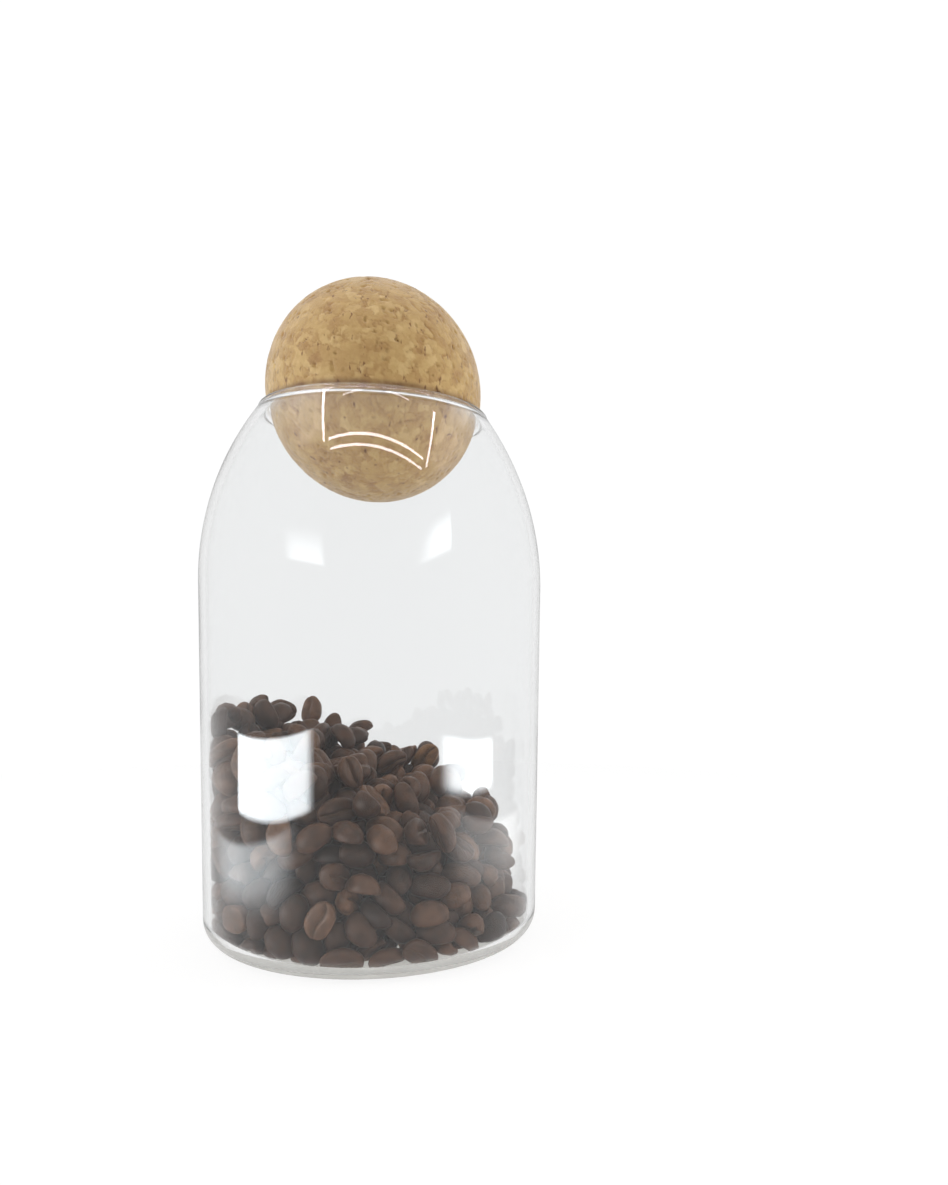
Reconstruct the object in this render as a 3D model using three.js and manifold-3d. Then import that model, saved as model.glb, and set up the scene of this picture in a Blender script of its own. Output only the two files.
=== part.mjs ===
// A glass storage canister closed by a loose cork ball, part-filled with roasted coffee beans.
// Three.js scene graph, millimetres, +Z up. The origin is the centre of the face the jar stands on.
//
// Pieces:
//   glass_jar          blown borosilicate body: straight wall, ogive shoulder, fire-polished lip
//   cork_ball_stopper  turned agglomerated-cork ball, resting on the inside of the lip
//   coffee_beans       the fill, as one plain solid with the outline of the heap
import * as THREE from "three";
import { mergeVertices } from "three/addons/utils/BufferGeometryUtils.js";
import Module from "manifold-3d";

// ---- Driving dimensions ----
const JAR_RADIUS = 50;
const JAR_HEIGHT = 156;
const WALL = 2.1;
const FLOOR_THICKNESS = 2.6;
const HEEL_RADIUS = 7.4; // rounding between the underside and the wall
const INSIDE_HEEL_RADIUS = 5.3;
const PUNT_RADIUS = 27; // shallow hollow in the underside, so that the jar stands on a ring
const PUNT_SLOPE = 4;
const PUNT_DEPTH = 0.9;
const SHOULDER_START = 104.7; // height where the straight wall begins to curve in
const SHOULDER_ARC = 83.7; // radius of that curve, in the profile
const LIP_RADIUS = 1.3; // half the thickness of the rounded rim
const BALL_RADIUS = 31.3;
const SEAT_GAP = 0.3; // clearance that the ball keeps to the lip when it is seated
const FILL_CLEARANCE = 0.4; // between the heap and the glass
const FILL_LEVEL = 49.5; // height of the heap's surface on the jar's axis
const FILL_RISE_LEFT = 0.46; // slope of the heap's surface, towards -X
const FILL_RISE_BACK = 0.1; // and towards +Y

// ---- How finely round shapes are divided ----
const TURN_STEPS = 72; // around the jar
const HEEL_STEPS = 6;
const SHOULDER_STEPS = 12;
const LIP_STEPS = 8;
const BALL_STEPS = 48;

// ---- Sizes that follow from them ----
const shoulderCentre = new THREE.Vector2(JAR_RADIUS - SHOULDER_ARC, SHOULDER_START);
const insideArc = SHOULDER_ARC - WALL;
const middleArc = SHOULDER_ARC - WALL / 2; // the lip's centre lies on the middle of the wall
const lipAngle = Math.asin((JAR_HEIGHT - LIP_RADIUS - SHOULDER_START) / middleArc);
const lipCentre = onCircle(shoulderCentre, middleArc, lipAngle);
const insideRadius = JAR_RADIUS - WALL;
const seatReach = BALL_RADIUS + LIP_RADIUS + SEAT_GAP;
const ballCentreHeight = lipCentre.y + Math.sqrt(seatReach ** 2 - lipCentre.x ** 2);

const wasm = await Module();
wasm.setup();

// ---- Profile helpers: a profile is a list of (radius, height) points ----
function onCircle(centre, radius, angle) {
  return new THREE.Vector2(centre.x + radius * Math.cos(angle), centre.y + radius * Math.sin(angle));
}

function arc(centre, radius, from, to, steps) {
  const points = [];
  for (let i = 0; i <= steps; i++)
    points.push(onCircle(centre, radius, from + ((to - from) * i) / steps));
  return points;
}

// The angle, seen from the shoulder's centre, between the lip's centre and the point
// where the lip's circle crosses a wall surface of the given arc radius.
function lipHalfAngle(wallArc) {
  const cosine = (wallArc ** 2 + middleArc ** 2 - LIP_RADIUS ** 2) / (2 * wallArc * middleArc);
  return Math.acos(cosine);
}

function angleFromLip(point) {
  return Math.atan2(point.y - lipCentre.y, point.x - lipCentre.x);
}

// ---- Solids ----
function turned(profile, steps) {
  const geometry = new THREE.LatheGeometry(profile, steps);
  return geometry.rotateX(Math.PI / 2);
}

function toSolid(geometry) {
  const bare = geometry.clone();
  bare.deleteAttribute("normal");
  bare.deleteAttribute("uv");
  const merged = mergeVertices(bare, 1e-4);
  return new wasm.Manifold(
    new wasm.Mesh({
      numProp: 3,
      vertProperties: new Float32Array(merged.attributes.position.array),
      triVerts: new Uint32Array(merged.index.array),
    }),
  );
}

function toGeometry(solid) {
  const mesh = solid.getMesh();
  const geometry = new THREE.BufferGeometry();
  geometry.setAttribute("position", new THREE.BufferAttribute(mesh.vertProperties, 3));
  geometry.setIndex(new THREE.BufferAttribute(mesh.triVerts, 1));
  geometry.computeVertexNormals();
  return geometry;
}

function glassJar() {
  const outerEnd = lipAngle - lipHalfAngle(SHOULDER_ARC);
  const innerEnd = lipAngle - lipHalfAngle(insideArc);
  const outerShoulder = arc(shoulderCentre, SHOULDER_ARC, 0, outerEnd, SHOULDER_STEPS);
  const innerShoulder = arc(shoulderCentre, insideArc, innerEnd, 0, SHOULDER_STEPS);
  const lipFrom = angleFromLip(outerShoulder.at(-1));
  const lipTo = angleFromLip(innerShoulder[0]) + 2 * Math.PI;
  const heelCentre = new THREE.Vector2(JAR_RADIUS - HEEL_RADIUS, HEEL_RADIUS);
  const insideHeelCentre = new THREE.Vector2(
    insideRadius - INSIDE_HEEL_RADIUS,
    FLOOR_THICKNESS + INSIDE_HEEL_RADIUS,
  );
  const profile = [
    new THREE.Vector2(0, PUNT_DEPTH),
    new THREE.Vector2(PUNT_RADIUS, PUNT_DEPTH),
    new THREE.Vector2(PUNT_RADIUS + PUNT_SLOPE, 0),
    ...arc(heelCentre, HEEL_RADIUS, -Math.PI / 2, 0, HEEL_STEPS),
    ...outerShoulder,
    ...arc(lipCentre, LIP_RADIUS, lipFrom, lipTo, LIP_STEPS).slice(1, -1),
    ...innerShoulder,
    ...arc(insideHeelCentre, INSIDE_HEEL_RADIUS, 0, -Math.PI / 2, HEEL_STEPS),
    new THREE.Vector2(0, FLOOR_THICKNESS),
  ];
  return turned(profile, TURN_STEPS);
}

// The heap fills the jar to the wall, up to a sloping surface that is cut flat.
function beanHeap() {
  const radius = insideRadius - FILL_CLEARANCE;
  const bottom = FLOOR_THICKNESS + FILL_CLEARANCE;
  const heelCentre = new THREE.Vector2(radius - INSIDE_HEEL_RADIUS, bottom + INSIDE_HEEL_RADIUS);
  const profile = [
    new THREE.Vector2(0, bottom),
    ...arc(heelCentre, INSIDE_HEEL_RADIUS, -Math.PI / 2, 0, HEEL_STEPS),
    new THREE.Vector2(radius, SHOULDER_START),
    new THREE.Vector2(0, SHOULDER_START),
  ];
  const column = toSolid(turned(profile, TURN_STEPS));
  const surfaceNormal = new THREE.Vector3(FILL_RISE_LEFT, -FILL_RISE_BACK, 1).normalize();
  const tilt = new THREE.Quaternion().setFromUnitVectors(new THREE.Vector3(0, 0, 1), surfaceNormal);
  const size = 4 * JAR_RADIUS;
  const above = new THREE.BoxGeometry(size, size, size);
  above.translate(0, 0, size / 2).applyQuaternion(tilt).translate(0, 0, FILL_LEVEL);
  return toGeometry(column.subtract(toSolid(above)));
}

function corkBall() {
  const ball = new THREE.SphereGeometry(BALL_RADIUS, BALL_STEPS, BALL_STEPS / 2);
  return ball.rotateX(Math.PI / 2);
}

// ---- Materials ----
const glass = new THREE.MeshStandardMaterial({
  color: 0xf2f6f5,
  roughness: 0.03,
  metalness: 0,
  transparent: true,
  opacity: 0.25,
});
const cork = new THREE.MeshStandardMaterial({ color: 0xc39d66, roughness: 0.75, metalness: 0 });
const roastedCoffee = new THREE.MeshStandardMaterial({ color: 0x4a3025, roughness: 0.5, metalness: 0 });

function piece(name, geometry, material) {
  const mesh = new THREE.Mesh(geometry, material);
  mesh.name = name;
  return mesh;
}

// ---- Assembly ----
const stopper = piece("cork_ball_stopper", corkBall(), cork);
stopper.position.z = ballCentreHeight;

const canister = new THREE.Group();
canister.name = "canister";
canister.add(
  piece("glass_jar", glassJar(), glass),
  piece("coffee_beans", beanHeap(), roastedCoffee),
  stopper,
);

export default canister;
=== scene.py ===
"""A glass canister with a cork ball stopper and roasted coffee beans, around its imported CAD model."""
import math
import random

import bmesh
import bpy
import numpy as np
from mathutils import Matrix, Quaternion, Vector, kdtree, noise


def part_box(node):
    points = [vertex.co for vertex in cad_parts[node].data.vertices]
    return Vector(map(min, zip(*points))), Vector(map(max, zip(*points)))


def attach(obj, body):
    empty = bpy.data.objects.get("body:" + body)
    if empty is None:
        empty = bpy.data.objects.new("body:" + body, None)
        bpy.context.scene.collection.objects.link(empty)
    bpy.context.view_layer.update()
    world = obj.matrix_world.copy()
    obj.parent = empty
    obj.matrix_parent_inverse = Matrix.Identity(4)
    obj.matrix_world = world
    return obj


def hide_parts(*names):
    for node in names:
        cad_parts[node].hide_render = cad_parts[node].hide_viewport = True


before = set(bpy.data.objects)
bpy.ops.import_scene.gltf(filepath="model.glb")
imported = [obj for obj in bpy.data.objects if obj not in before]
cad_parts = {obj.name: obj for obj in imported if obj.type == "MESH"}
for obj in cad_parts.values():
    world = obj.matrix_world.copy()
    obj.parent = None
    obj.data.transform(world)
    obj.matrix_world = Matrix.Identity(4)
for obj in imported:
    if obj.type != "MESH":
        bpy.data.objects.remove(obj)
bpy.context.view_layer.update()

jar_low, jar_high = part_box("glass_jar")
ball_low, ball_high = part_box("cork_ball_stopper")

NOISE_SEED = 7
noise.seed_set(NOISE_SEED)  # unseeded, noise_vector comes out differently on every run

# ---- Sizes of the object, in metres: the jar's repeat the CAD model's ----
JAR_RADIUS = jar_high.x
JAR_HEIGHT = jar_high.z
WALL = 0.0021
FLOOR_THICKNESS = 0.0026
HEEL_RADIUS = 0.0074
INSIDE_HEEL_RADIUS = 0.0053
PUNT_RADIUS = 0.031
PUNT_DEPTH = 0.0009
SHOULDER_START = 0.1047
SHOULDER_ARC = 0.0837
LIP_RADIUS = 0.0013
BASE_HEIGHT = 0.0031  # below this the glass is thick, pressed and slightly milky
RIM_START = JAR_HEIGHT - 2 * LIP_RADIUS  # above this the glass is fire-polished and clearer
BALL_RADIUS = (ball_high.z - ball_low.z) / 2
BALL_CENTRE = (ball_low + ball_high) / 2
SEAT_SHADOW_HEIGHT = JAR_HEIGHT + 0.0007  # painted shadow on the cork, darkest at this height just above the rim where the ball sits
# how far the painted seat shadow reaches above and below that height
SEAT_SHADOW_ABOVE = 0.0008
SEAT_SHADOW_BELOW = 0.0035

# ---- How finely the turned glass and the cork ball are divided ----
JAR_SEGMENTS = 256
PUNT_STEPS = 12
HEEL_STEPS = 14
SHOULDER_STEPS = 40
LIP_STEPS = 18
BALL_CUTS = 127  # across each face of the cube that the ball is swollen from

# ---- The cork's surface: depths in metres, and how many bumps the noise has to a metre ----
CORK_SEED = 11
GRANULE_COUNT = 2600
WIDE_WARP_SCALE, WIDE_WARP = 420, 0.0011
FINE_WARP_SCALE, FINE_WARP = 1100, 0.0004
SEAM_WIDTH = 0.00035
SEAM_DEPTH = 0.00022
GRANULE_DEPTH = 0.00006
BREAK_SCALE = 260  # of the gaps along the seams
PIT_SCALE = 700
PIT_DEPTH = 0.0022
PIT_THRESHOLD = 0.42  # how high the noise has to be to make a pit
DEEPEST = 0.0006
# bumps to a metre of the noise that makes the painted seat shadow uneven
SEAT_SHADOW_NOISE_SCALE = 330

# ---- The photograph's camera ----
CAMERA_PLACE = Vector((0.04273, -0.27387, 0.08768))
CAMERA_YAW = 0.0182
CAMERA_PITCH = 0.0835
CAMERA_ROLL = 0.0163
CAMERA_LENS = 27.24
CAMERA_SHIFT = (-0.0477, 0.1099)

# ---- The stage: FLOOR_TOP is a little below the jar, and CARD_STEPS divides a card for its fade ----
FLOOR_TOP = -0.0003
FLOOR_RADIUS = 0.42
FLOOR_DEPTH = 0.01
FLOOR_SEGMENTS = 128
BACKDROP_RADIUS = 4
CARD_STEPS = 24

# ---- The heap ----
BEAN_SEED = 5
BEAN_COUNT = 860
BEAN_LENGTH = 0.0110
BEAN_WIDTH = 0.0075
BEAN_BACK = 0.0041
BEAN_BELLY = 0.0012
FURROW_WIDTH = 0.00036
FURROW_DEPTH = 0.0011
DENT_SCALE = 260
DENT_DEPTH = 0.00022
BEAN_SHAPES = 8
BEAN_LAYERS = 4
BEAN_GAP = 0.0001  # how near a bean may come to the glass
HEAP_SLOPE = Vector((-0.36, 0.10, -1))  # what counts as down while the beans settle
BEAN_TURNS = [math.radians(a) for a in (0, 5, 11, 19, 34, 58, 86, 114, 145, 180)]  # half way round
BEAN_RINGS = 11

# ---- How the beans settle ----
# A bean as balls that overlap: along the bean, across it, above its flat side, and the radius
BEAN_BALLS = np.array([
    (0.0030, 0.0, 0.00145, 0.00245),
    (-0.0030, 0.0, 0.00145, 0.00245),
    (0.0013, 0.0012, 0.00145, 0.00260),
    (0.0013, -0.0012, 0.00145, 0.00260),
    (-0.0013, 0.0012, 0.00145, 0.00260),
    (-0.0013, -0.0012, 0.00145, 0.00260),
])
BALLS_EACH = len(BEAN_BALLS)
LATTICE = (0.0083, 0.0068)  # how far apart the beans start, sideways and upwards
LATTICE_JITTER = 0.15  # a share of the lattice's spacing
FIRST_LAYER = 0.6  # the lowest layer's height, as a share of the lattice's upward spacing
TILT = 0.6  # how far the beans start from lying flat: at 1 every way round is as likely
SINK = 0.00012  # how far the beans sink in each step before they push one another apart
SINK_STEPS = 140
EASE_STEPS = 140  # further steps, in which the beans only push one another apart
PAIRS_EVERY = 3  # steps between two searches for the balls that may touch
PAIR_REACH = 0.0062  # balls whose centres are further apart than this wait for the next search
EAGERNESS = 1.3  # each bean moves by this many times the average push on it
TINY = 1e-12  # keeps a division by a length from failing at zero


# ---------------------------------------------------------------- meshes
def mesh_object(name, vertices, faces, material=None):
    mesh = bpy.data.meshes.new(name)
    mesh.from_pydata(vertices, [], faces)
    mesh.shade_smooth()
    thing = bpy.data.objects.new(name, mesh)
    bpy.context.scene.collection.objects.link(thing)
    if material:
        mesh.materials.append(material)
    return thing


def arc(centre, radius, start, end, steps):
    angles = np.linspace(math.radians(start), math.radians(end), steps + 1)
    return [(centre[0] + radius * math.cos(a), centre[1] + radius * math.sin(a)) for a in angles]


def lathe(profile, segments):
    """Vertices and faces of a profile of (radius, height) turned about Z. It starts and ends on the axis."""
    rings = profile[1:-1]
    turns = np.arange(segments) * 2 * math.pi / segments
    vertices = [(0, 0, profile[0][1])]
    for radius, height in rings:
        vertices += [(radius * math.cos(t), radius * math.sin(t), height) for t in turns]
    vertices.append((0, 0, profile[-1][1]))
    faces = []
    last = len(vertices) - 1
    for i in range(segments):
        j = (i + 1) % segments
        faces.append((0, 1 + j, 1 + i))
        for k in range(len(rings) - 1):
            low = 1 + k * segments
            high = low + segments
            faces.append((low + i, low + j, high + j, high + i))
        top = 1 + (len(rings) - 1) * segments
        faces.append((top + i, top + j, last))
    return vertices, faces


# ---------------------------------------------------------------- materials
def new_material(name):
    material = bpy.data.materials.new(name)
    material.use_nodes = True
    tree = material.node_tree
    return material, tree, tree.nodes["Principled BSDF"]


def node(tree, kind, **settings):
    made = tree.nodes.new(kind)
    for key, value in settings.items():
        setattr(made, key, value)
    return made


def noise_node(tree, coordinates, scale, detail=3.0, roughness=0.5):
    made = node(tree, "ShaderNodeTexNoise")
    made.inputs["Scale"].default_value = scale
    made.inputs["Detail"].default_value = detail
    made.inputs["Roughness"].default_value = roughness
    tree.links.new(coordinates, made.inputs["Vector"])
    return made.outputs["Fac"]


def ramp(tree, factor, stops):
    """A colour ramp with stops of (position, (r, g, b))."""
    made = node(tree, "ShaderNodeValToRGB")
    band = made.color_ramp
    band.elements[0].position, band.elements[0].color = stops[0][0], (*stops[0][1], 1)
    band.elements[1].position, band.elements[1].color = stops[-1][0], (*stops[-1][1], 1)
    for place, colour in stops[1:-1]:
        band.elements.new(place).color = (*colour, 1)
    tree.links.new(factor, made.inputs["Fac"])
    return made.outputs["Color"]


def mixed(tree, blend, factor, first, second):
    """A colour mix. factor and second may be sockets or plain values."""
    made = node(tree, "ShaderNodeMix", data_type="RGBA", blend_type=blend)
    for socket, value in ((made.inputs[0], factor), (made.inputs[6], first), (made.inputs[7], second)):
        if isinstance(value, bpy.types.NodeSocket):
            tree.links.new(value, socket)
        else:
            socket.default_value = value
    return made.outputs[2]


def bumped(tree, shader, height, distance, strength=1.0):
    made = node(tree, "ShaderNodeBump")
    made.inputs["Strength"].default_value = strength
    made.inputs["Distance"].default_value = distance
    tree.links.new(height, made.inputs["Height"])
    tree.links.new(made.outputs["Normal"], shader.inputs["Normal"])


def mapped_range(tree, value, low, high, to_low=0.0, to_high=1.0):
    made = node(tree, "ShaderNodeMapRange")
    tree.links.new(value, made.inputs["Value"])
    for name, number in (("From Min", low), ("From Max", high), ("To Min", to_low), ("To Max", to_high)):
        made.inputs[name].default_value = number
    return made.outputs["Result"]


def object_coordinates(tree):
    return node(tree, "ShaderNodeTexCoord").outputs["Object"]


def attribute(tree, name):
    return node(tree, "ShaderNodeAttribute", attribute_name=name).outputs["Fac"]


def let_light_in(tree, surface):
    """Shadow and diffuse rays go straight through the glass, so that light reaches what is inside."""
    clear = node(tree, "ShaderNodeBsdfTransparent")
    clear.inputs["Color"].default_value = (0.975, 0.965, 0.95, 1)
    path = node(tree, "ShaderNodeLightPath")
    for kind in ("Is Shadow Ray", "Is Diffuse Ray"):
        mix = node(tree, "ShaderNodeMixShader")
        tree.links.new(path.outputs[kind], mix.inputs["Fac"])
        tree.links.new(surface, mix.inputs[1])
        tree.links.new(clear.outputs["BSDF"], mix.inputs[2])
        surface = mix.outputs["Shader"]
    tree.links.new(surface, tree.nodes["Material Output"].inputs["Surface"])


GLASS_IOR = 1.474


def glass_material(name, tint, roughness=0.0):
    material, tree, shader = new_material(name)
    shader.inputs["Base Color"].default_value = (*tint, 1)
    shader.inputs["Roughness"].default_value = roughness
    shader.inputs["IOR"].default_value = GLASS_IOR
    shader.inputs["Transmission Weight"].default_value = 1.0
    waves = noise_node(tree, object_coordinates(tree), 28.0, detail=1.0)
    bumped(tree, shader, waves, 0.0004, 0.25)
    let_light_in(tree, shader.outputs["BSDF"])
    return material


def base_material():
    material, tree, shader = new_material("pressed_glass_base")
    streaks = noise_node(tree, object_coordinates(tree), 160.0)
    milk = ramp(tree, streaks, ((0.3, (0.84, 0.84, 0.805)), (0.7, (0.93, 0.935, 0.90))))
    tree.links.new(milk, shader.inputs["Base Color"])
    shader.inputs["Roughness"].default_value = 0.12
    shader.inputs["IOR"].default_value = GLASS_IOR
    shader.inputs["Transmission Weight"].default_value = 0.1
    bumped(tree, shader, streaks, 0.0003, 0.3)
    translucent = node(tree, "ShaderNodeBsdfTranslucent")
    tree.links.new(milk, translucent.inputs["Color"])
    mix = node(tree, "ShaderNodeMixShader")
    mix.inputs["Fac"].default_value = 0.5
    tree.links.new(shader.outputs["BSDF"], mix.inputs[1])
    tree.links.new(translucent.outputs["BSDF"], mix.inputs[2])
    let_light_in(tree, mix.outputs["Shader"])
    return material


def cork_material():
    material, tree, shader = new_material("agglomerated_cork")
    place = object_coordinates(tree)
    granule = attribute(tree, "granule")
    seam = attribute(tree, "seam")
    cloud = noise_node(tree, place, 330.0, detail=5.0, roughness=0.65)
    mixed_tone = node(tree, "ShaderNodeMath", operation="MULTIPLY_ADD")
    tree.links.new(granule, mixed_tone.inputs[0])
    mixed_tone.inputs[1].default_value = 0.66
    softened = mapped_range(tree, cloud, 0.3, 0.7, 0.0, 0.4)
    tree.links.new(softened, mixed_tone.inputs[2])
    tan = ramp(tree, mixed_tone.outputs[0], (
        (0.0, (0.36, 0.178, 0.049)),
        (0.25, (0.48, 0.280, 0.087)),
        (0.6, (0.57, 0.360, 0.124)),
        (1.0, (0.71, 0.500, 0.212)),
    ))
    dark_seams = mixed(tree, "MULTIPLY", seam, tan, (0.78, 0.68, 0.57, 1))
    stretched = node(tree, "ShaderNodeVectorMath", operation="MULTIPLY")
    tree.links.new(place, stretched.inputs[0])
    stretched.inputs[1].default_value = (1.0, 1.0, 0.45)
    fleck = mapped_range(tree, noise_node(tree, stretched.outputs[0], 720.0, detail=2.0), 0.65, 0.73)
    flecked = mixed(tree, "MULTIPLY", fleck, dark_seams, (0.40, 0.27, 0.18, 1))
    # Painted shadow: the cork is darkened in a band where it sits in the rim.
    colour = mixed(tree, "MULTIPLY", attribute(tree, "painted_seat_shadow"), flecked, (0.42, 0.33, 0.26, 1))
    tree.links.new(colour, shader.inputs["Base Color"])
    shader.inputs["Roughness"].default_value = 0.72
    shader.inputs["Sheen Weight"].default_value = 0.55
    shader.inputs["Sheen Roughness"].default_value = 0.4
    shader.inputs["Specular IOR Level"].default_value = 0.3
    bumped(tree, shader, noise_node(tree, place, 1500.0, detail=4.0, roughness=0.7), 0.0004, 0.5)
    return material


def bean_material():
    material, tree, shader = new_material("roasted_coffee")
    place = object_coordinates(tree)
    tone = attribute(tree, "tone")
    furrow = attribute(tree, "furrow")
    roast = ramp(tree, tone, (
        (0.0, (0.026, 0.011, 0.006)),
        (0.5, (0.080, 0.038, 0.021)),
        (0.97, (0.160, 0.080, 0.043)),
        (1.0, (0.20, 0.10, 0.042)),
    ))
    mottle = mapped_range(tree, noise_node(tree, place, 420.0, detail=1.5), 0.3, 0.7, 0.68, 1.32)
    shaded = mixed(tree, "MULTIPLY", 1.0, roast, mottle)
    chaff = mixed(tree, "MIX", furrow, shaded, (0.12, 0.066, 0.036, 1))
    tree.links.new(chaff, shader.inputs["Base Color"])
    rough = mapped_range(tree, noise_node(tree, place, 260.0), 0.3, 0.7, 0.32, 0.52)
    tree.links.new(rough, shader.inputs["Roughness"])
    shader.inputs["Specular IOR Level"].default_value = 0.2
    bumped(tree, shader, noise_node(tree, place, 380.0, detail=0.0), 0.0003, 0.2)
    return material


# ---------------------------------------------------------------- the jar
def jar_profile():
    """The jar's section: up its outside, over the lip and down its inside."""
    inside = JAR_RADIUS - WALL
    shoulder = (JAR_RADIUS - SHOULDER_ARC, SHOULDER_START)
    middle_arc = SHOULDER_ARC - WALL / 2
    inside_arc = SHOULDER_ARC - WALL
    lip_angle = math.asin((JAR_HEIGHT - LIP_RADIUS - SHOULDER_START) / middle_arc)
    lip = (shoulder[0] + middle_arc * math.cos(lip_angle), JAR_HEIGHT - LIP_RADIUS)

    def meets_lip(wall_arc):
        cosine = (wall_arc**2 + middle_arc**2 - LIP_RADIUS**2) / (2 * wall_arc * middle_arc)
        return lip_angle - math.acos(cosine)

    def from_lip(point):
        return math.degrees(math.atan2(point[1] - lip[1], point[0] - lip[0]))

    outer = arc(shoulder, SHOULDER_ARC, 0, math.degrees(meets_lip(SHOULDER_ARC)), SHOULDER_STEPS)
    inner = arc(shoulder, inside_arc, math.degrees(meets_lip(inside_arc)), 0, SHOULDER_STEPS)
    punt = [
        (PUNT_RADIUS * s, PUNT_DEPTH * (0.5 + 0.5 * math.cos(math.pi * s**3)))
        for s in np.linspace(0, 1, PUNT_STEPS + 1)
    ]
    inside_heel = (inside - INSIDE_HEEL_RADIUS, FLOOR_THICKNESS + INSIDE_HEEL_RADIUS)
    return [
        *punt,
        *arc((JAR_RADIUS - HEEL_RADIUS, HEEL_RADIUS), HEEL_RADIUS, -90, 0, HEEL_STEPS),
        *outer,
        *arc(lip, LIP_RADIUS, from_lip(outer[-1]), from_lip(inner[0]) + 360, LIP_STEPS)[1:-1],
        *inner,
        *arc(inside_heel, INSIDE_HEEL_RADIUS, 0, -90, HEEL_STEPS),
        *[(s * inside_heel[0], FLOOR_THICKNESS) for s in (0.66, 0.33, 0)],
    ]


def glass_slot(face):
    """Which of the jar's three materials a face has."""
    if face.center.z < BASE_HEIGHT:
        return 1
    return 2 if face.center.z > RIM_START else 0


def make_jar():
    jar = mesh_object("jar_glass", *lathe(jar_profile(), JAR_SEGMENTS))
    jar.data.materials.append(glass_material("clear_borosilicate", (0.922, 0.928, 0.93)))
    jar.data.materials.append(base_material())
    jar.data.materials.append(glass_material("fire_polished_rim", (0.985, 0.985, 0.985), 0.14))
    for face in jar.data.polygons:
        face.material_index = glass_slot(face)
    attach(jar, "jar")
    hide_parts("glass_jar")


# ---------------------------------------------------------------- the cork ball
def make_ball():
    shape = bmesh.new()
    bmesh.ops.create_cube(shape, size=2)
    bmesh.ops.subdivide_edges(shape, edges=shape.edges, cuts=BALL_CUTS, use_grid_fill=True)
    rng = random.Random(CORK_SEED)
    granules = kdtree.KDTree(GRANULE_COUNT)
    tones = []
    for i in range(GRANULE_COUNT):
        spot = Vector((rng.gauss(0, 1), rng.gauss(0, 1), rng.gauss(0, 1))).normalized()
        granules.insert(spot * BALL_RADIUS * rng.uniform(0.95, 1.0), i)
        tones.append(rng.betavariate(2, 2))
    granules.balance()
    mesh = bpy.data.meshes.new("cork_ball")
    shape.to_mesh(mesh)
    shape.free()
    count = len(mesh.vertices)
    places = np.zeros((count, 3))
    granule = np.zeros(count)
    seam = np.zeros(count)
    painted_seat_shadow = np.zeros(count)
    for i, vertex in enumerate(mesh.vertices):
        way = Vector([math.tan(c * math.pi / 4) for c in vertex.co]).normalized()
        point = way * BALL_RADIUS
        warp = noise.noise_vector(point * WIDE_WARP_SCALE) * WIDE_WARP
        warp += noise.noise_vector(point * FINE_WARP_SCALE) * FINE_WARP
        (_, first, near), (_, _, far) = granules.find_n(point + warp, 2)
        edge = max(0.0, 1 - (far - near) / SEAM_WIDTH)
        broken = min(1.0, max(0.0, 0.5 + 1.8 * noise.noise(point * BREAK_SCALE)))
        pit = max(0.0, noise.noise(point * PIT_SCALE + Vector((9, 9, 9))) - PIT_THRESHOLD)
        granule[i] = tones[first]
        seam[i] = edge * broken
        depth = GRANULE_DEPTH * tones[first] + SEAM_DEPTH * edge * broken + PIT_DEPTH * pit
        places[i] = way * (BALL_RADIUS - min(depth, DEEPEST)) + BALL_CENTRE
        # Painted shadow: a dark band round the ball where it sits in the rim, narrow above the rim and wider
        # below it.
        above_rim = places[i][2] - SEAT_SHADOW_HEIGHT
        reach = SEAT_SHADOW_ABOVE if above_rim > 0 else SEAT_SHADOW_BELOW
        painted_seat_shadow[i] = math.exp(-((above_rim / reach) ** 2)) * (0.85 + 0.5 * noise.noise(point * SEAT_SHADOW_NOISE_SCALE))
    mesh.vertices.foreach_set("co", places.ravel())
    for name, values in (("granule", granule), ("seam", seam), ("painted_seat_shadow", painted_seat_shadow)):
        mesh.attributes.new(name, "FLOAT", "POINT").data.foreach_set("value", values)
    mesh.shade_smooth()
    mesh.materials.append(cork_material())
    ball = bpy.data.objects.new("cork_ball", mesh)
    bpy.context.scene.collection.objects.link(ball)
    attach(ball, "stopper")
    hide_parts("cork_ball_stopper")
    return ball


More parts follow.
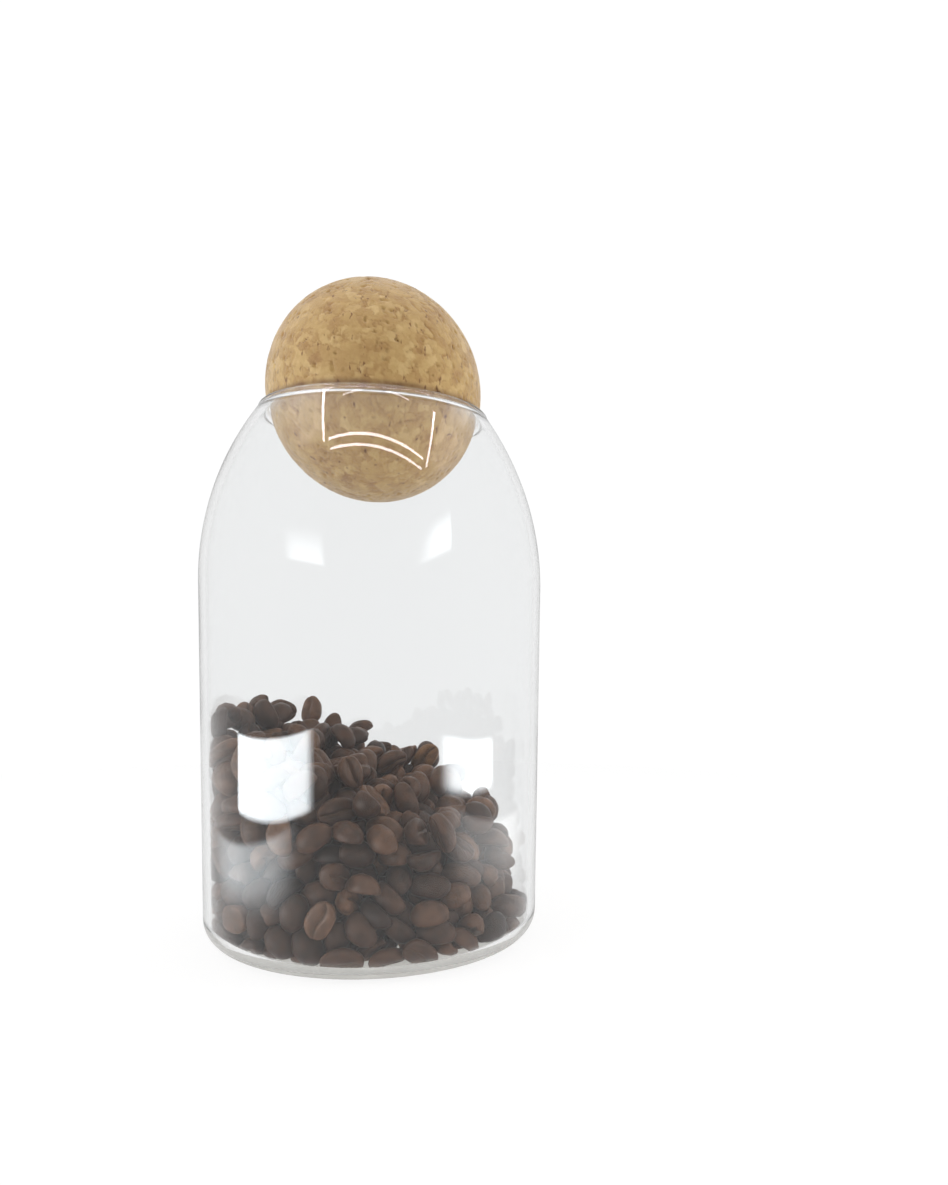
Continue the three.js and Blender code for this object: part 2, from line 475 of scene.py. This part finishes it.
# ---------------------------------------------------------------- the beans
def bean_shape(rng):
    """One bean, its length along X and its flat face down.

    Returns its vertices, its faces and how deep in the furrow each vertex is.
    """
    length = BEAN_LENGTH * rng.uniform(0.9, 1.1)
    width = BEAN_WIDTH * rng.uniform(0.92, 1.08)
    back = BEAN_BACK * rng.uniform(0.9, 1.12)
    belly = BEAN_BELLY * rng.uniform(0.8, 1.3)
    swing = rng.uniform(-0.0006, 0.0006)
    plump = rng.uniform(-0.08, 0.08)
    seed = Vector((rng.uniform(0, 50), rng.uniform(0, 50), rng.uniform(0, 50)))
    turns = BEAN_TURNS + [2 * math.pi - a for a in reversed(BEAN_TURNS[1:-1])]
    vertices, furrow = [], []

    def place(along, turn):
        reach = math.sin(along) ** 0.9
        x = -math.cos(along)
        across = reach * math.sin(turn)
        up = -reach * math.cos(turn)
        y = across * width / 2 * (1 + plump * x)
        line = swing * math.sin(x * math.pi)
        if up > 0:
            z = back * up * (1 - 0.12 * x * x)
        else:
            z = -belly * (1 - (1 + up) ** 2) ** 0.5 if up > -1 else -belly
        deep = 0.0
        if up < 0:
            deep = math.exp(-(((y - line) / FURROW_WIDTH) ** 2)) * max(0.0, 1 - abs(x) ** 5)
        z += deep * FURROW_DEPTH
        y += line * 0.3
        point = Vector((x * length / 2, y, z))
        point += noise.noise_vector(point * DENT_SCALE + seed) * DENT_DEPTH
        vertices.append(point)
        furrow.append(deep)

    place(0, 0)
    for i in range(1, BEAN_RINGS):
        for turn in turns:
            place(math.pi * i / BEAN_RINGS, turn)
    place(math.pi, 0)
    around = len(turns)
    last = len(vertices) - 1
    faces = []
    for j in range(around):
        k = (j + 1) % around
        faces.append((0, 1 + j, 1 + k))
        for i in range(BEAN_RINGS - 2):
            low = 1 + i * around
            faces.append((low + j, low + around + j, low + around + k, low + k))
        low = 1 + (BEAN_RINGS - 2) * around
        faces.append((low + j, last, low + k))
    return vertices, faces, furrow


def length_of(rows):
    return np.sqrt(rows[:, 0] ** 2 + rows[:, 1] ** 2 + rows[:, 2] ** 2)


def inside_the_jar(points, radius):
    """Where balls of this radius end up when the jar's inside surface stops them."""
    widest = JAR_RADIUS - WALL - radius
    bend = INSIDE_HEEL_RADIUS - radius
    corner = FLOOR_THICKNESS + INSIDE_HEEL_RADIUS
    out = np.sqrt(points[:, 0] ** 2 + points[:, 1] ** 2) + TINY
    reach = np.minimum(out, widest)
    height = np.maximum(points[:, 2], FLOOR_THICKNESS + radius)
    over, under = reach - (widest - bend), corner - height
    far = np.sqrt(over**2 + under**2) + TINY
    in_heel = (over > 0) & (under > 0) & (far > bend)
    reach = np.where(in_heel, widest - bend + over * bend / far, reach)
    height = np.where(in_heel, corner - under * bend / far, height)
    return np.stack((points[:, 0] * reach / out, points[:, 1] * reach / out, height), 1)


def start_spots(rng):
    """Where the beans start: a jittered lattice, filled from the bottom and cut off along the slope."""
    sideways, upwards = LATTICE
    radius = JAR_RADIUS - WALL - sideways / 2
    reach = int(radius / sideways) + 1
    spots = []
    for layer in range(int(JAR_HEIGHT / upwards)):
        shift = Vector((rng.uniform(-0.5, 0.5), rng.uniform(-0.5, 0.5), layer + FIRST_LAYER))
        for i in range(-reach, reach + 1):
            for j in range(-reach, reach + 1):
                jitter = Vector([rng.uniform(-LATTICE_JITTER, LATTICE_JITTER) for _ in range(3)])
                spot = (Vector((i, j, 0)) + shift + jitter) * sideways
                spot.z *= upwards / sideways
                if spot.xy.length < radius:
                    spots.append(spot)
    return sorted(spots, key=HEAP_SLOPE.dot, reverse=True)[:BEAN_COUNT]


def start_turn(rng):
    """Any way round, but more often lying down than standing up, and on either side."""
    w, x, y, z = [rng.gauss(0, spread) for spread in (1, TILT, TILT, 1)]
    if rng.random() < 0.5:
        w, x, y, z = -x, w, -z, y
    return Quaternion((w, x, y, z)).normalized().to_matrix()


def near_pairs(balls):
    """The pairs of balls of two different beans that may touch soon."""
    tree = kdtree.KDTree(len(balls))
    for i, ball in enumerate(balls):
        tree.insert(ball, i)
    tree.balance()
    pairs = [
        (i, j) for i, ball in enumerate(balls) for _, j, _ in tree.find_range(ball, PAIR_REACH)
        if i // BALLS_EACH < j // BALLS_EACH
    ]
    return np.array(pairs).T


def contact_pushes(balls, radii, pairs):
    """How far each ball is pushed by the others and by the jar, and by how many of them."""
    first, second = pairs
    between = balls[second] - balls[first]
    apart = length_of(between) + TINY
    overlap = radii[first] + radii[second] - apart
    hit = overlap > 0
    first, second = first[hit], second[hit]
    shove = between[hit] * (overlap[hit] / apart[hit] / 2)[:, None]
    stopped = inside_the_jar(balls, radii)
    pushes = stopped - balls
    touches = (length_of(pushes) > 0).astype(float)
    for axis in range(3):
        pushes[:, axis] += np.bincount(second, shove[:, axis], len(balls))
        pushes[:, axis] -= np.bincount(first, shove[:, axis], len(balls))
    touches += np.bincount(first, minlength=len(balls)) + np.bincount(second, minlength=len(balls))
    return pushes.reshape(-1, BALLS_EACH, 3), touches.reshape(-1, BALLS_EACH)


def squared_up(turns):
    """Rotation matrices again, after a small error has crept in."""
    x, y = turns[:, :, 0], turns[:, :, 1]
    x = x / length_of(x)[:, None]
    y = y - x * (x * y).sum(1)[:, None]
    y = y / length_of(y)[:, None]
    return np.stack((x, y, np.cross(x, y)), 2)


def settle(rng):
    """Sinks the beans into the jar until they lie on one another, and returns their places.

    Nothing in it is random but rng, which is seeded, so the heap comes out the same on every run.
    """
    centres = np.array([tuple(spot) for spot in start_spots(rng)])
    turns = np.array([start_turn(rng) for _ in range(BEAN_COUNT)])
    down = np.array(HEAP_SLOPE.normalized())
    radii = np.tile(BEAN_BALLS[:, 3], BEAN_COUNT)
    for step in range(SINK_STEPS + EASE_STEPS):
        if step < SINK_STEPS:
            centres += down * SINK
        arms = (turns[:, None] * BEAN_BALLS[None, :, None, :3]).sum(3)
        balls = (centres[:, None] + arms).reshape(-1, 3)
        if step % PAIRS_EVERY == 0:
            pairs = near_pairs(balls)
        pushes, touches = contact_pushes(balls, radii, pairs)
        centres += EAGERNESS * pushes.sum(1) / np.maximum(1, touches.sum(1))[:, None]
        leverage = (touches * (arms**2).sum(2)).sum(1) + BEAN_BACK**2
        spin = np.cross(arms, pushes).sum(1) * (EAGERNESS / leverage)[:, None]
        turns = squared_up(turns + np.cross(spin[:, None], turns.transpose(0, 2, 1)).transpose(0, 2, 1))
    return [Matrix.Translation(c) @ Matrix(t.tolist()).to_4x4() for c, t in zip(centres, turns)]


def make_beans():
    rng = random.Random(BEAN_SEED)
    shapes = [bean_shape(rng) for _ in range(BEAN_SHAPES)]
    kinds = [rng.randrange(BEAN_SHAPES) for _ in range(BEAN_COUNT)]
    tones = [min(1.0, max(0.0, rng.gauss(0.50, 0.28))) for _ in range(BEAN_COUNT)]
    places = settle(rng)
    order = sorted(range(BEAN_COUNT), key=lambda i: places[i].translation.z)
    material = bean_material()
    per_layer = math.ceil(BEAN_COUNT / BEAN_LAYERS)
    heaps = []
    for layer in range(BEAN_LAYERS):
        vertices, faces, furrow, tone = [], [], [], []
        for i in order[layer * per_layer:(layer + 1) * per_layer]:
            points, sides, deep = shapes[kinds[i]]
            start = len(vertices)
            vertices += [places[i] @ p for p in points]
            faces += [tuple(start + v for v in side) for side in sides]
            furrow += deep
            tone += [tones[i]] * len(points)
        vertices = inside_the_jar(np.array([tuple(v) for v in vertices]), BEAN_GAP)
        heap = mesh_object(f"coffee_beans_layer_{layer + 1}", vertices, faces, material)
        for name, values in (("furrow", furrow), ("tone", tone)):
            heap.data.attributes.new(name, "FLOAT", "POINT").data.foreach_set("value", values)
        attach(heap, "jar")
        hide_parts("coffee_beans")
        heaps.append(heap)
    return heaps


# ---------------------------------------------------------------- the studio
def make_camera():
    forward = Vector((
        math.sin(CAMERA_YAW) * math.cos(CAMERA_PITCH),
        math.cos(CAMERA_YAW) * math.cos(CAMERA_PITCH),
        -math.sin(CAMERA_PITCH),
    ))
    level = Vector((math.cos(CAMERA_YAW), -math.sin(CAMERA_YAW), 0))
    upright = level.cross(forward)
    right = math.cos(CAMERA_ROLL) * level + math.sin(CAMERA_ROLL) * upright
    up = right.cross(forward)
    camera = bpy.data.objects.new("camera", bpy.data.cameras.new("camera"))
    turn = Matrix((right, up, -forward)).transposed().to_4x4()
    camera.matrix_world = Matrix.Translation(CAMERA_PLACE) @ turn
    camera.data.lens = CAMERA_LENS
    camera.data.shift_x, camera.data.shift_y = CAMERA_SHIFT
    camera.data.clip_start = 0.01
    bpy.context.scene.collection.objects.link(camera)
    bpy.context.scene.camera = camera


def glow_material(name, strength, colour=(1, 1, 1), fading=False):
    material, tree, shader = new_material(name)
    tree.nodes.remove(shader)
    glow = node(tree, "ShaderNodeEmission")
    glow.inputs["Color"].default_value = (*colour, 1)
    glow.inputs["Strength"].default_value = strength
    surface = glow.outputs["Emission"]
    if fading:
        mix = node(tree, "ShaderNodeMixShader")
        tree.links.new(attribute(tree, "fade"), mix.inputs["Fac"])
        tree.links.new(node(tree, "ShaderNodeBsdfTransparent").outputs["BSDF"], mix.inputs[1])
        tree.links.new(surface, mix.inputs[2])
        surface = mix.outputs["Shader"]
    tree.links.new(surface, tree.nodes["Material Output"].inputs["Surface"])
    return material


def seen_only_by(thing, *kinds):
    """Leaves a stage piece in view of these kinds of ray alone."""
    for kind in ("camera", "diffuse", "glossy", "transmission", "shadow"):
        setattr(thing, "visible_" + kind, kind in kinds)


def softened(share, soft):
    """From 0 at an edge to 1 at a distance of soft from it."""
    if soft == 0:
        return 1.0
    near = min(1.0, share / soft)
    return near * near * (3 - 2 * near)


def reflected_card(name, corners, strength, colour=(1, 1, 1), soft=(0, 0, 0, 0)):
    """A glowing card that shows only as a reflection, like the studio's lamps and windows.

    Its corners go round it, and soft says how wide a share of it fades away along each of its four edges.
    """
    corners = [Vector(c) for c in corners]
    vertices, fades, faces = [], [], []
    for j in range(CARD_STEPS + 1):
        for i in range(CARD_STEPS + 1):
            u, v = i / CARD_STEPS, j / CARD_STEPS
            low = corners[0].lerp(corners[1], u)
            high = corners[3].lerp(corners[2], u)
            vertices.append(low.lerp(high, v))
            edges = zip((v, 1 - u, 1 - v, u), soft)
            fades.append(math.prod(softened(share, width) for share, width in edges))
            if i < CARD_STEPS and j < CARD_STEPS:
                k = j * (CARD_STEPS + 1) + i
                faces.append((k, k + 1, k + CARD_STEPS + 2, k + CARD_STEPS + 1))
    card = mesh_object(name, vertices, faces, glow_material(name, strength, colour, fading=True))
    card.data.attributes.new("fade", "FLOAT", "POINT").data.foreach_set("value", fades)
    seen_only_by(card, "glossy")


def make_backdrop():
    shape = bmesh.new()
    bmesh.ops.create_icosphere(shape, subdivisions=4, radius=BACKDROP_RADIUS)
    mesh = bpy.data.meshes.new("backdrop")
    shape.to_mesh(mesh)
    shape.free()
    mesh.materials.append(glow_material("white_backdrop", 1.02))
    backdrop = bpy.data.objects.new("backdrop", mesh)
    bpy.context.scene.collection.objects.link(backdrop)
    seen_only_by(backdrop, "camera", "transmission")


def make_floor():
    material, tree, shader = new_material("white_floor")
    shader.inputs["Base Color"].default_value = (0.15, 0.15, 0.15, 1)
    shader.inputs["Roughness"].default_value = 0.9
    shader.inputs["Specular IOR Level"].default_value = 0.0
    shader.inputs["Emission Color"].default_value = (1, 1, 1, 1)
    shader.inputs["Emission Strength"].default_value = 0.88
    profile = [(0, FLOOR_TOP), (FLOOR_RADIUS, FLOOR_TOP), (0, FLOOR_TOP - FLOOR_DEPTH)]
    floor = mesh_object("floor", *lathe(profile, FLOOR_SEGMENTS), material)
    floor.data.shade_flat()
    floor.visible_glossy = False
    return floor


def make_world():
    """Soft light, bright behind the object and dim in front of it, as in a tent with an open side."""
    world = bpy.data.worlds.new("studio")
    bpy.context.scene.world = world
    world.use_nodes = True
    tree = world.node_tree
    direction = node(tree, "ShaderNodeSeparateXYZ")
    tree.links.new(node(tree, "ShaderNodeTexCoord").outputs["Generated"], direction.inputs[0])
    strength = mapped_range(tree, direction.outputs["Y"], -0.9, 0.7, 0.12, 0.68)
    background = tree.nodes["Background"]
    background.inputs["Color"].default_value = (1, 1, 1, 1)
    tree.links.new(strength, background.inputs["Strength"])


# name, place, what it points at, width, depth, power, and whether its reflection shows
LAMPS = (
    ("overhead", (-0.1, -0.1, 0.9), (-0.1, -0.1, 0), 0.9, 0.7, 2.8, True),
    ("front_left", (-0.50, -0.20, 0.40), (0, 0, 0.06), 0.4, 0.4, 1.4, True),
    ("right", (0.65, 0.0, 0.35), (0, 0, 0.08), 0.3, 0.5, 1.6, True),
    ("front_fill", (0.1, -0.8, 0.2), (0, 0, 0.04), 0.6, 0.5, 1.1, False),
)


def make_lamps(lit):
    """The lamps. One whose reflection shows lights only the things in lit, and not the glass."""
    receivers = bpy.data.collections.new("lit_by_the_lamps")
    for thing in lit:
        receivers.objects.link(thing)
    for name, place, aim, width, depth, energy, glossy in LAMPS:
        lamp = bpy.data.lights.new(name, "AREA")
        lamp.shape, lamp.size, lamp.size_y = "RECTANGLE", width, depth
        lamp.energy = energy
        thing = bpy.data.objects.new(name, lamp)
        thing.location = place
        thing.rotation_euler = (Vector(aim) - Vector(place)).to_track_quat("-Z", "Y").to_euler()
        thing.visible_camera = thing.visible_transmission = False
        thing.visible_glossy = glossy
        if glossy:
            thing.light_linking.receiver_collection = receivers
        bpy.context.scene.collection.objects.link(thing)


# Cards that only reflections see: name, four corners from the top left, strength, colour, and how wide
# a share fades away along the top, right, bottom and left edge.
WHITE = (1, 1, 1)
COOL = (0.91, 0.965, 1.0)
LILAC = (1.0, 0.95, 1.0)
PINK = (1.0, 0.93, 0.93)
CARDS = (
    ("near_floor",
     ((-0.5, 0.35, 0), (0.5, 0.35, 0), (0.5, -0.30, 0), (-0.5, -0.30, 0)),
     0.7, WHITE, (0.3, 0.3, 0.35, 0.3)),
    ("left_patch",
     ((-0.644, -0.051, 0.001), (-0.308, -0.593, 0.001), (-0.110, -0.233, 0.001), (-0.238, -0.040, 0.001)),
     24.0, COOL, (0.1, 0.14, 0.05, 0.06)),
    ("right_patch",
     ((0.474, -0.416, 0.001), (0.613, 0.021, 0.001), (0.307, -0.004, 0.001), (0.221, -0.205, 0.001)),
     24.0, COOL, (0.25, 0.14, 0.14, 0.3)),
    ("left_veil",
     ((-0.204, 0.061, 0.001), (-0.141, -0.207, 0.001), (-0.036, -0.079, 0.001), (-0.092, -0.006, 0.001)),
     7.0, COOL, (0.15, 0.3, 0.5, 0.45)),
    ("right_veil",
     ((0.234, -0.198, 0.001), (0.228, 0.154, 0.001), (0.099, 0.023, 0.001), (0.073, -0.075, 0.001)),
     4.0, WHITE, (0.15, 0.4, 0.5, 0.3)),
    ("left_window",
     ((-0.548, -0.40, 0.377), (-0.165, -0.40, 0.273), (-0.142, -0.40, 0.152), (-0.455, -0.40, 0.201)),
     6.0, COOL, (0.95, 0.08, 0.08, 0.5)),
    ("right_window",
     ((0.293, -0.40, 0.306), (0.811, -0.40, 0.661), (0.657, -0.40, 0.297), (0.229, -0.40, 0.152)),
     6.5, COOL, (0.6, 0.08, 0.1, 0.45)),
    ("upper_left_wall",
     ((-0.240, 0.083, 0.45), (-0.165, -0.019, 0.45), (-0.200, -0.171, 0.45), (-0.257, -0.121, 0.45)),
     1.6, WHITE, (0.1, 0.15, 0.5, 0.3)),
    ("roof_left",
     ((-0.30, 0.12, 0.455), (-0.146, 0.12, 0.455), (-0.163, -0.20, 0.455), (-0.30, -0.20, 0.455)),
     2.0, PINK, (0.3, 0, 0.2, 0.5)),
    ("roof_middle",
     ((-0.14, 0.20, 0.455), (0.18, 0.20, 0.455), (0.25, -0.19, 0.455), (-0.15, -0.19, 0.455)),
     0.6, PINK, (0.3, 0, 0, 0)),
    ("roof_right",
     ((0.185, 0.12, 0.455), (0.34, 0.12, 0.455), (0.38, -0.21, 0.455), (0.262, -0.21, 0.455)),
     1.7, PINK, (0.3, 0.5, 0.2, 0)),
    ("upper_right_wall",
     ((0.19, 0.080, 0.45), (0.213, 0.372, 0.45), (0.294, 0.058, 0.45), (0.245, -0.056, 0.45)),
     1.6, WHITE, (0.1, 0.15, 0.5, 0.3)),
)

# The strip lamps under the roof: name, two ends (x, y), width, strength
ROOF = 0.45
STRIPS = (
    ("strip_left", (-0.140, -0.002), (-0.159, -0.200), 0.009, 18.0),
    ("strip_right", (0.179, 0.011), (0.257, -0.209), 0.008, 18.0),
    ("strip_front", (-0.140, -0.196), (0.228, -0.189), 0.011, 18.0),
    ("strip_front_outer", (-0.137, -0.235), (0.242, -0.232), 0.011, 18.0),
    ("strip_back", (-0.084, -0.060), (0.104, -0.030), 0.006, 8.0),
)


def make_reflections():
    for name, corners, strength, colour, soft in CARDS:
        reflected_card(name, corners, strength, colour, soft)
    for name, start, end, width, strength in STRIPS:
        start, end = Vector((*start, ROOF)), Vector((*end, ROOF))
        side = (end - start).cross(Vector((0, 0, 1))).normalized() * width / 2
        reflected_card(name, [start - side, start + side, end + side, end - side], strength, LILAC)


make_camera()
make_jar()
matte = [make_ball(), *make_beans()]
bpy.context.scene.view_settings.view_transform = "Standard"
make_world()
make_backdrop()
floor = make_floor()
make_reflections()
make_lamps([*matte, floor])
